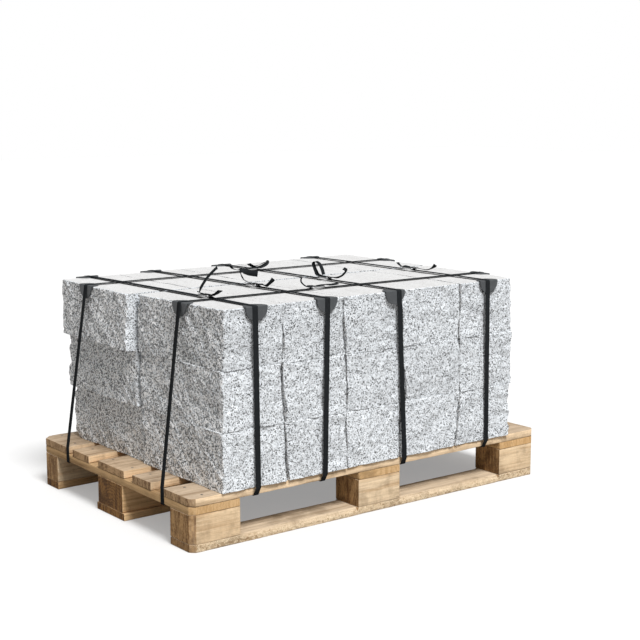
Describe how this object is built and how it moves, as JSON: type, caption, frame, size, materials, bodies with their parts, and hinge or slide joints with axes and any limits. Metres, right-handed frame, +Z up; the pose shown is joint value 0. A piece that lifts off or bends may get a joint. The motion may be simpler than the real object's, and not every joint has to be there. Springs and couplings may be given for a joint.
{
  "type": "pallet of granite kerbs",
  "caption": "Split-faced granite kerbs in courses on a four-way wooden pallet, held by plastic straps over edge protectors.",
  "frame": {"origin": "middle of the pallet's underside, on the floor", "axes": "+X along the pallet's long side, +Y along its short side, away from the side the stones stand out over, +Z up"},
  "size_m": [1.2026, 0.8176, 0.6771],
  "materials": {
    "granite": "split rough, sawn above and below",
    "board_timber": "rough sawn",
    "block_timber": "rough sawn",
    "strap": "woven polyester strap, satin",
    "protector": "moulded, satin",
    "galvanised_steel": "galvanised"
  },
  "bodies": {
    "root": {"deck_board_1": "board_timber", "deck_board_2": "board_timber", "deck_board_3": "board_timber", "deck_board_4": "board_timber", "deck_board_5": "board_timber", "stringer_board_1": "board_timber", "stringer_board_2": "board_timber", "stringer_board_3": "board_timber", "bottom_board_1": "board_timber", "bottom_board_2": "board_timber", "bottom_board_3": "board_timber", "block_1": "block_timber", "block_2": "block_timber", "block_3": "block_timber", "block_4": "block_timber", "block_5": "block_timber", "block_6": "block_timber", "block_7": "block_timber", "block_8": "block_timber", "block_9": "block_timber", "kerb_lower_front_1": "granite", "kerb_lower_front_2": "granite", "kerb_lower_front_3": "granite", "kerb_lower_front_4": "granite", "kerb_lower_front_5": "granite", "kerb_lower_back_1": "granite", "kerb_lower_back_2": "granite", "kerb_lower_back_3": "granite", "kerb_lower_back_4": "granite", "kerb_lower_back_5": "granite", "kerb_middle_front_1": "granite", "kerb_middle_front_2": "granite", "kerb_middle_front_3": "granite", "kerb_middle_front_4": "granite", "kerb_middle_front_5": "granite", "kerb_middle_back_1": "granite", "kerb_middle_back_2": "granite", "kerb_middle_back_3": "granite", "kerb_middle_back_4": "granite", "kerb_middle_back_5": "granite", "kerb_upper_front_1": "granite", "kerb_upper_front_2": "granite", "kerb_upper_front_3": "granite", "kerb_upper_front_4": "granite", "kerb_upper_front_5": "granite", "kerb_upper_back_1": "granite", "kerb_upper_back_2": "granite", "kerb_upper_back_3": "granite", "kerb_upper_back_4": "granite", "kerb_upper_back_5": "granite", "cross_strap_1": "strap", "cross_strap_2": "strap", "cross_strap_3": "strap", "cross_strap_4": "strap", "long_strap_1": "strap", "long_strap_2": "strap", "front_edge_protectors": "protector", "back_edge_protectors": "protector", "end_edge_protectors": "protector", "wire_buckles": "galvanised_steel"}
  },
  "joints": []
}
